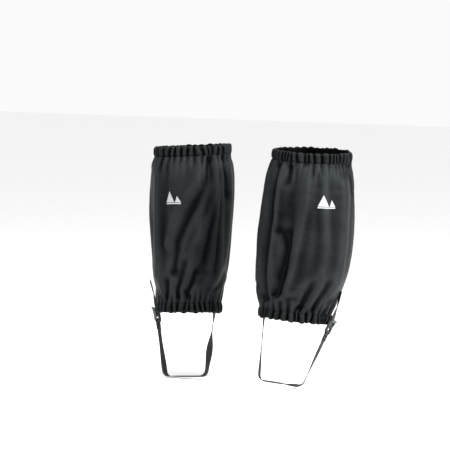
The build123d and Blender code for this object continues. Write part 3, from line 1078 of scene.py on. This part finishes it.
def back_seam(leg):
    low, high = (leg.band / 2 + SEAM_END_GAP) / leg.height, 1 - (leg.band / 2 + SEAM_END_GAP) / leg.height
    tape = flat_panel(f"{leg.side}_seam_tape", SEAM_COLUMNS, SEAM_ROWS, SEAM_WIDTH, leg.height)
    across, along = grid_shares(tape)
    heights = low + along * (high - low)
    turns = BEHIND + (across - 0.5) * SEAM_WIDTH / leg.radius(heights)
    edge = 1 - np.clip((np.abs(across - 0.5) - 0.42) / 0.08, 0, 1)
    dimple = np.exp(-((np.abs(across - 0.5) * SEAM_WIDTH - SEAM_ROWS_APART / 2) / (0.8 * MM)) ** 2)
    lay(tape, leg, turns, heights, 0.0)
    normals = np.array([skins[leg.side].under(leg, t, h)[1] for t, h in zip(turns, heights)])
    lift = (SEAM_LIFT + SEAM_CROWN * edge - SEAM_DIMPLE * dimple) * MM
    set_points(tape, points_of(tape) + normals * lift[:, None])
    # The tape's raised middle gets a painted highlight and its rim, where it drops to the cloth, painted shade.
    painted_crest_shade = tape.data.attributes.new("crest", "FLOAT", "POINT")
    painted_crest_shade.data.foreach_set("value", (0.25 + 0.5 * edge).astype(np.float32))
    add_modifier(tape, "SOLIDIFY", thickness=SEAM_THICK, offset=-1)
    smooth(tape, 180)
    hand_over(tape, shell_nylon, f"{leg.side}_back_seam")
    with_sleeve(tape, leg)
    places, step = [], SEAM_STITCH_PITCH / leg.height
    for sign in (-1, 1):
        for height in np.arange(low + step, high - step, step):
            turn = BEHIND + sign * SEAM_ROWS_APART / 2 / float(leg.radius(height))
            middle, normal = skins[leg.side].under(leg, turn, height, SEAM_STITCH_LIFT)
            ahead, _ = skins[leg.side].under(leg, turn, height + step / 2, SEAM_STITCH_LIFT)
            places.append((middle, ahead - middle, normal))
    with_sleeve(stitches(f"{leg.side}_seam_stitches", places, f"{leg.side}_back_seam_stitching"), leg)


for leg in LEGS.values():
    back_seam(leg)

# %% [markdown]
# ## Printed mark
# A transfer print is a thin skin of ink. Here it is two plain peaks on a bar. The three outlines are drawn
# flat, cut into one-millimetre cells so that they can bend, then laid on the cloth and given a little
# thickness.

# %% Mark
MARK_WIDTH, MARK_HEIGHT, MARK_BAR = 32 * MM, 22 * MM, 3 * MM
MARK_GAP = 0.9 * MM           # between the peaks and the bar
MARK_CELL, MARK_LIFT, MARK_THICK = 1 * MM, 0.12 * MM, 0.1 * MM


def mark_outlines():
    half, top = MARK_WIDTH / 2, MARK_HEIGHT / 2
    foot = MARK_BAR - top
    return [[(-half, foot), (MARK_BAR, foot), (-half / 2, top)],
            [(MARK_BAR + 0.8 * MM, foot), (half, foot), (half / 2, top / 4), (half * 0.36, foot + 3.2 * MM)],
            [(-half, foot - MARK_BAR), (half, foot - MARK_BAR),
             (half, foot - MARK_GAP), (-half, foot - MARK_GAP)]]


def printed_mark(leg):
    node = points_of(leg.node("mark_print"))
    middle = (node.min(0) + node.max(0)) / 2
    share, _, outward = from_axis(leg, middle[None])
    across, backwards, _ = leg.ring_axes(share[0])
    turn = math.atan2(float(outward[0] @ across), -float(outward[0] @ backwards))
    mesh = bpy.data.meshes.new(f"{leg.side}_mark")
    corners, faces = [], []
    for outline in mark_outlines():
        faces.append(list(range(len(corners), len(corners) + len(outline))))
        corners += [(x, y, 0) for x, y in outline]
    mesh.from_pydata(corners, [], faces)
    mark = bpy.data.objects.new(mesh.name, mesh)
    scene.collection.objects.link(mark)
    choose(mark)
    bpy.ops.object.mode_set(mode="EDIT")
    for normal, reach in (((1, 0, 0), MARK_WIDTH), ((0, 1, 0), MARK_HEIGHT)):
        for cell in np.arange(-reach / 2 + MARK_CELL, reach / 2, MARK_CELL):
            bpy.ops.mesh.select_all(action="SELECT")
            bpy.ops.mesh.bisect(plane_co=tuple(cell * n for n in normal), plane_no=normal)
    bpy.ops.object.mode_set(mode="OBJECT")
    flat = points_of(mark)
    layer = mark.data.uv_layers.new(name="cloth")
    loops = np.zeros(len(mark.data.loops), int)
    mark.data.loops.foreach_get("vertex_index", loops)
    layer.data.foreach_set("uv", flat[loops][:, :2].ravel())
    turns = turn + flat[:, 0] / leg.radius(share[0])
    lay(mark, leg, turns, share[0] + flat[:, 1] / leg.height, MARK_LIFT)
    choose(mark)
    bpy.ops.object.mode_set(mode="EDIT")
    bpy.ops.mesh.select_all(action="SELECT")
    bpy.ops.mesh.normals_make_consistent(inside=False)
    bpy.ops.object.mode_set(mode="OBJECT")
    add_modifier(mark, "SOLIDIFY", thickness=MARK_THICK, offset=1)
    hand_over(mark, transfer_print, f"{leg.side}_mark_print")
    with_sleeve(mark, leg)
    print(mark.name, "at", round(math.degrees(turn)), "degrees", len(mark.data.polygons), "faces")


for leg in LEGS.values():
    printed_mark(leg)

# %% [markdown]
# ## The strap's own frame
# Under each hem hangs a stirrup of webbing. Its frame has x towards the buckle, y backwards and z up the
# leg, with the swing joint at its origin, and the buckle has a frame of its own at its lowest bar. Both
# follow from the frame's joints, so that webbing and moulding meet the bodies that move them.

# %% Strap and buckle frames
BAR_PITCH, LIP_REACH = 9 * MM, 24.3 * MM      # of the buckle, from its lowest bar
TAIL_OUT, WRAP = -0.7 * MM, 2.4 * MM          # of the webbing's middle, from the bars' plane
STRAP_WIDTH, STRAP_THICK = 12 * MM, 1.4 * MM
STRAP_END_GAP = 1.3 * MM      # between the strap's sewn end and the hem's inner wall
TUNNEL_DEPTH = 3.9 * MM       # from the hem's outer wall to its inner wall
SOLE_HALF, SOLE_DROP, SOLE_CORNER = 38 * MM, 111.7 * MM, 12 * MM


class Stirrup:
    """A gaiter's strap frame and buckle frame, from its joints."""

    def __init__(self, leg):
        names = ("strap_swing", "buckle_tilt", "tail_peel")
        swing, tilt, peel = (JOINTS[f"{leg.side}_{name}"] for name in names)
        self.origin = np.array(swing["pos_m"])
        self.x = unit(np.array(swing["axis"])) * leg.outward
        self.y = unit(np.array(tilt["axis"])) * leg.outward
        self.z = np.cross(self.x, self.y) * leg.outward
        rise = np.array(peel["pos_m"]) - np.array(tilt["pos_m"])
        lean = math.atan2(rise @ self.x, rise @ self.z) + math.atan2(-TAIL_OUT, LIP_REACH - BAR_PITCH)
        self.buckle_x = self.x * math.cos(lean) - self.z * math.sin(lean)
        self.buckle_z = self.x * math.sin(lean) + self.z * math.cos(lean)
        self.anchor = np.array(tilt["pos_m"]) - self.buckle_z * BAR_PITCH
        wall = math.sqrt((leg.hem_radius - TUNNEL_DEPTH) ** 2 - (STRAP_WIDTH / 2) ** 2)
        self.sewn_x = -(wall - STRAP_END_GAP - STRAP_THICK / 2)
        self.leg = leg

    def at(self, x, z, y=0.0):
        return self.origin + self.x * x + self.y * y + self.z * z

    def on_buckle(self, x, z):
        return self.anchor + self.buckle_x * x + self.buckle_z * z


STIRRUPS = {side: Stirrup(leg) for side, leg in LEGS.items()}
for side, stirrup in STIRRUPS.items():
    print(side, "buckle anchor", np.round(stirrup.anchor, 4))

# %% [markdown]
# ## Straps
# A strap is its woven band swept along the line that it hangs in. The band's section is a flat oval with
# firm edges, rolled from a grid, and the grid keeps width and length for the weave. Where a strap turns on
# itself, as webbing does between two ends that don't face the same way, its width turns about the line.
# Sweeping a bevelled curve gives no control of that turn, so each section is placed here.

# %% Sweep webbing along a line
AROUND = 28


def rounded_line(corners, radius, step=1.5 * MM):
    """Points along straight runs with round corners, about a step apart."""
    corners = np.array(corners, float)
    points = [corners[0]]
    for before, corner, after in zip(corners, corners[1:], corners[2:]):
        leave, enter = unit(before - corner), unit(after - corner)
        bend = math.acos(float(np.clip(leave @ enter, -1, 1)))
        shorter = min(np.linalg.norm(before - corner), np.linalg.norm(after - corner))
        back_off = min(radius / math.tan(bend / 2), 0.48 * shorter)
        first, last = corner + leave * back_off, corner + enter * back_off
        for share in np.linspace(0, 1, 9):
            points.append(first * (1 - share) ** 2 + corner * 2 * share * (1 - share) + last * share ** 2)
    points.append(corners[-1])
    return even_steps(np.array(points), step)


def even_steps(points, step):
    length = np.concatenate([[0], np.cumsum(np.linalg.norm(np.diff(points, axis=0), axis=1))])
    count = max(4, int(length[-1] / step))
    places = np.linspace(0, length[-1], count + 1)
    return np.stack([np.interp(places, length, points[:, k]) for k in range(3)], 1)


def strap(name, line, across, turns=None, thin_ends=(True, True)):
    """A band of webbing along a line. across is its width's direction, and turns says how far it turns
    about the line, as (share of the line, degrees)."""
    count = len(line)
    length = np.linalg.norm(np.diff(line, axis=0), axis=1).sum()
    panel = flat_panel(name, AROUND, count - 1, 2 * (STRAP_WIDTH + STRAP_THICK), length)
    round_share, along = grid_shares(panel)
    tangent = unit(np.gradient(line, axis=0))
    wide = unit(np.broadcast_to(across, line.shape) - tangent * (tangent @ across)[:, None])
    thick = np.cross(tangent, wide)
    if turns is not None:
        stations, degrees = zip(*turns)
        angle = np.radians(np.interp(np.linspace(0, 1, count), stations, degrees))
        angle = np.convolve(np.pad(angle, 6, mode="edge"), np.ones(13) / 13, "valid")[:, None]
        cosine, sine = np.cos(angle), np.sin(angle)
        wide, thick = wide * cosine + thick * sine, thick * cosine - wide * sine
    angle = round_share * 2 * math.pi
    width_part = np.sign(np.cos(angle)) * np.abs(np.cos(angle)) ** 0.35 * STRAP_WIDTH / 2
    thick_part = np.sign(np.sin(angle)) * np.abs(np.sin(angle)) ** 0.5 * STRAP_THICK / 2
    row = np.rint(along * (count - 1)).astype(int)
    closing = np.ones(count)
    closing[0], closing[-1] = (0.0 if thin else 1.0 for thin in thin_ends)
    points = line[row] + wide[row] * width_part[:, None] + thick[row] * (thick_part * closing[row])[:, None]
    set_points(panel, points)
    sew(panel, 0.00003)
    if not all(thin_ends):
        choose(panel)
        bpy.ops.object.mode_set(mode="EDIT")
        bpy.ops.mesh.select_all(action="DESELECT")
        bpy.ops.mesh.select_mode(type="EDGE")
        bpy.ops.mesh.select_non_manifold()
        bpy.ops.mesh.edge_face_add()
        bpy.ops.mesh.select_all(action="SELECT")
        bpy.ops.mesh.normals_make_consistent(inside=False)
        bpy.ops.object.mode_set(mode="OBJECT")
    smooth(panel, 50)
    dress(panel, webbing)
    print(name, round(length, 3), "m long")
    return panel


# %% [markdown]
# ### The foot strap
# It is sewn inside the hem on the inner side of the leg, runs down, under the boot's arch and up the outer
# side, and is folded round the buckle's lowest bar. The part near the buckle is made as a piece of its own.

# %% Foot straps
LOOP_RISE = 40 * MM           # of the strap that follows the buckle
LEAVES_HALF = 0.78            # millimetres, half the distance between the folded strap's two leaves
LOOP_TURN = ((-LEAVES_HALF, -15), (-LEAVES_HALF, -4.5), (-2.35, -0.6), (-1.9, 1.9), (0, 2.5), (1.9, 1.9),
             (2.35, -0.6), (LEAVES_HALF, -4.5), (LEAVES_HALF, -17))    # round the lowest bar, in millimetres
TWISTS = {                    # (share of the strap, degrees), turned about its line
    "right": ((0, 0), (0.06, -8), (0.14, -38), (0.22, -5), (0.31, 48), (0.36, 20), (0.42, 0), (0.7, 0),
              (0.85, -22), (1, 0)),
    "left": ((0, 0), (0.08, 12), (0.2, 26), (0.34, 8), (0.42, 0), (0.64, 0), (0.70, -34),
             (0.82, -26), (1, 0)),
}


def follow_buckle(piece, stirrup):
    """Bakes the folded end's transform into its mesh. Two places on the buckle are worked out but not used."""
    tuple(stirrup.on_buckle(0, -LOOP_RISE + 1 * MM))
    tuple(stirrup.on_buckle(0, -6 * MM))
    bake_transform(piece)


def foot_strap(stirrup):
    side = stirrup.leg.side
    split = stirrup.on_buckle(0, -LOOP_RISE)
    sewn_x = stirrup.sewn_x
    corners = [stirrup.at(sewn_x, 5 * MM), stirrup.at(sewn_x, -12 * MM), stirrup.at(-SOLE_HALF, -SOLE_DROP),
               stirrup.at(SOLE_HALF, -SOLE_DROP), split]
    line = rounded_line(corners, SOLE_CORNER)
    turns = [(share, -degrees * stirrup.leg.outward) for share, degrees in TWISTS[side]]
    piece = strap(f"{side}_foot_strap_band", line, stirrup.y, turns, (True, False))
    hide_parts(f"{side}_foot_strap")
    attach(piece, f"{side}_stirrup")
    loop = [split, stirrup.on_buckle(0, -19 * MM)] + [stirrup.on_buckle(x * MM, z * MM) for x, z in LOOP_TURN]
    line = rounded_line(loop, 1.6 * MM, 0.8 * MM)
    folded = strap(f"{side}_strap_loop_band", line, stirrup.y, None, (False, True))
    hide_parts(f"{side}_strap_loop")
    follow_buckle(folded, stirrup)


for stirrup in STIRRUPS.values():
    foot_strap(stirrup)

# %% [markdown]
# ### The adjuster
# A second strap is sewn to the outside of the hem with its end down, folds over and goes down behind the
# buckle's bars, round the middle bar and up again. What is left over is the tail that is pulled to tighten
# it. It is one strap on the real thing. Here it is three pieces that meet where the motion changes: at the
# fold and under the middle bar.

# %% Adjuster straps
TAB_LOW, TAB_TOP, TAB_GAP = -1 * MM, 8.6 * MM, 0.8 * MM     # the gap is to the hem's outer wall
TAIL_BOW = {"right": 5 * MM, "left": -7 * MM}     # of the free end's tip, away from the leg
TAIL_TURN = 32                # degrees about its own line, so that its edge faces forwards
TAIL_BEYOND_LIP = 45 * MM


def adjuster(stirrup):
    side, face = stirrup.leg.side, stirrup.leg.hem_radius + TAB_GAP + STRAP_THICK / 2
    leg_top = stirrup.on_buckle(-WRAP, 2 * BAR_PITCH)
    leg_x = (leg_top - stirrup.origin) @ stirrup.x
    fold_x, fold_z = (face + leg_x) / 2, TAB_TOP + 2.4 * MM
    tab = rounded_line([stirrup.at(face, TAB_LOW), stirrup.at(face, TAB_TOP),
                        stirrup.at(face + 0.3 * MM, fold_z - 0.4 * MM), stirrup.at(fold_x, fold_z)],
                       1.4 * MM, 0.7 * MM)
    sewn = strap(f"{side}_adjuster_tab", tab, stirrup.y, None, (True, False))
    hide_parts(f"{side}_adjuster_webbing")
    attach(sewn, f"{side}_hem")
    down = rounded_line([stirrup.at(fold_x, fold_z), stirrup.at(leg_x + 0.2 * MM, fold_z - 0.3 * MM), leg_top,
                         stirrup.on_buckle(-WRAP, BAR_PITCH + 0.5 * MM),
                         stirrup.on_buckle(-WRAP * 0.9, BAR_PITCH - WRAP * 0.9),
                         stirrup.on_buckle(0, BAR_PITCH - WRAP * 1.05)], 1.4 * MM, 0.7 * MM)
    load = strap(f"{side}_adjuster_load_leg", down, stirrup.y, None, (False, False))
    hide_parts(f"{side}_adjuster_wrap")
    tuple(stirrup.at(fold_x, fold_z))
    tuple(stirrup.at(fold_x, fold_z - 9 * MM))
    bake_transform(load)
    bow = TAIL_BOW[side]
    tip = stirrup.on_buckle(TAIL_OUT + bow, LIP_REACH + TAIL_BEYOND_LIP)
    up = rounded_line([stirrup.on_buckle(0, BAR_PITCH - WRAP * 1.05),
                       stirrup.on_buckle(WRAP * 0.9, BAR_PITCH - WRAP * 0.9),
                       stirrup.on_buckle(WRAP, BAR_PITCH + 1.5 * MM),
                       stirrup.on_buckle(TAIL_OUT, 2 * BAR_PITCH - 1.3 * MM),
                       stirrup.on_buckle(TAIL_OUT, LIP_REACH),
                       stirrup.on_buckle(TAIL_OUT + 0.3 * bow, LIP_REACH + 20 * MM), tip], 1.6 * MM, 0.8 * MM)
    twist = [(0, 0), (0.4, 0), (0.7, TAIL_TURN), (1, TAIL_TURN)]
    tail = strap(f"{side}_adjuster_free_end", up, stirrup.y, twist, (False, True))
    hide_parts(f"{side}_adjuster_tail")
    tuple(stirrup.on_buckle(TAIL_OUT, LIP_REACH - 4 * MM))
    tuple(stirrup.on_buckle(TAIL_OUT, LIP_REACH + 6 * MM))
    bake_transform(tail)
    return face


# %% [markdown]
# ### Bartacks
# Where a strap carries load it is sewn with bartacks, short bars of dense zigzag. Each is a row of
# stitches side by side, lying across the bar.

# %% Bartacks
TACK_WIDTH, TACK_HEIGHT, TACK_PITCH = 10 * MM, 2 * MM, 0.5 * MM
TACK_SLANT, TACK_THREAD, TACK_LIFT = 0.22, 0.5 * MM, 0.1 * MM


def bartack(name, middle, wide, high, replaced, body, apart=6 * MM):
    normal = np.cross(wide, high)
    places = []
    for sign in (-1, 1):
        offsets = np.arange(-TACK_WIDTH / 2, TACK_WIDTH / 2 + TACK_PITCH / 2, TACK_PITCH)
        for number, offset in enumerate(offsets):
            slant = high + wide * (TACK_SLANT if number % 2 else -TACK_SLANT)
            places.append((middle + wide * offset + high * sign * apart / 2, slant, normal))
    return stitches(name, places, replaced, body, length=TACK_HEIGHT, thick=TACK_THREAD)


for leg in LEGS.values():
    stirrup = STIRRUPS[leg.side]
    face = adjuster(stirrup)
    side = leg.side
    tab = stirrup.at(face + STRAP_THICK / 2 + TACK_LIFT, 4 * MM)
    bartack(f"{side}_tab_tacks", tab, stirrup.y, stirrup.z, f"{side}_adjuster_bartack", f"{side}_hem",
            apart=5 * MM)
    loop = stirrup.on_buckle(LEAVES_HALF * MM + STRAP_THICK / 2 + TACK_LIFT, -11 * MM)
    tack = bartack(f"{side}_loop_tacks", loop, stirrup.y, stirrup.buckle_z, f"{side}_strap_loop_bartack",
                   None)
    follow_buckle(tack, stirrup)
    inside = stirrup.at(stirrup.sewn_x + STRAP_THICK / 2 + TACK_LIFT, 0)
    bartack(f"{side}_strap_end_tacks", inside, stirrup.y, stirrup.z, f"{side}_strap_end_bartack",
            f"{side}_stirrup", apart=4.5 * MM)

# %% [markdown]
# ## Ladder-lock buckles
# The buckle is one acetal moulding: two rails, three bars and a lip to lift it by. The frame gives its
# exact form. A moulding has no sharp edge anywhere, and its lip has ribs for the thumb, so the ribs are
# added to a copy, all is joined into one skin by a fine voxel remesh, and the skin is smoothed. Bevelling
# each edge would fail where bars meet rails.

# %% Buckles
RIBS = (1.6, 2.9, 4.2)        # millimetres along the lip
RIB_RADIUS, RIB_HALF, RIB_LIFT = 0.42 * MM, 7.6 * MM, 1.3 * MM
LIP_ROOT, LIP_TURN = (1.5 * MM, 18 * MM), math.radians(35)


def bar_between(name, start, end, radius):
    """A round bar, placed in its mesh."""
    deselect()
    middle, line = Vector((start + end) / 2), Vector(end - start)
    bpy.ops.mesh.primitive_cylinder_add(vertices=16, radius=radius, depth=line.length)
    rod = bpy.context.object
    rod.name = name
    rod.data.transform(Matrix.Translation(middle) @ line.to_track_quat("Z", "Y").to_matrix().to_4x4())
    return rod


def moulded_buckle(stirrup):
    side = stirrup.leg.side
    copy = stirrup.leg.node("buckle").copy()
    copy.data = copy.data.copy()
    copy.name = copy.data.name = f"{side}_ladder_lock"
    scene.collection.objects.link(copy)
    copy.parent = None
    sew(copy, 0.000005)
    along = stirrup.buckle_x * math.sin(LIP_TURN) + stirrup.buckle_z * math.cos(LIP_TURN)
    outward = stirrup.buckle_x * math.cos(LIP_TURN) - stirrup.buckle_z * math.sin(LIP_TURN)
    lip, half = stirrup.on_buckle(*LIP_ROOT), stirrup.y * RIB_HALF
    rods = []
    for number, reach in enumerate(RIBS):
        middle = lip + along * reach * MM + outward * RIB_LIFT
        rods.append(bar_between(f"{side}_rib_{number}", middle - half, middle + half, RIB_RADIUS))
    deselect()
    for piece in rods + [copy]:
        piece.select_set(True)
    bpy.context.view_layer.objects.active = copy
    bpy.ops.object.join()
    add_modifier(copy, "REMESH", mode="VOXEL", voxel_size=0.22 * MM)
    add_modifier(copy, "SMOOTH", factor=0.5, iterations=3)
    smooth(copy, 60)
    hand_over(copy, moulded_plastic, f"{side}_buckle", f"{side}_buckle")
    print(copy.name, len(copy.data.polygons), "faces")


for stirrup in STIRRUPS.values():
    moulded_buckle(stirrup)

# %% [markdown]
# ## Finishing
# The sleeves get their cloth's thickness last, inwards, so that all the trim could be laid on their outer
# face. Then both boxes are measured, and how far the visual box grows past the frame's is printed.

# %% Finish the sleeves
for leg in LEGS.values():
    piece = sleeves[leg.side]
    add_modifier(piece, "SOLIDIFY", thickness=CLOTH_THICKNESS, offset=-1)
    smooth(piece, 180)
    hand_over(piece, shell_nylon, f"{leg.side}_sleeve")
    with_sleeve(piece, leg)

low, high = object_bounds()
growth = [round(x / MM, 1) for x in (*(cad_low - low), *(high - cad_high))]
print("visual box grows by", growth, "mm")
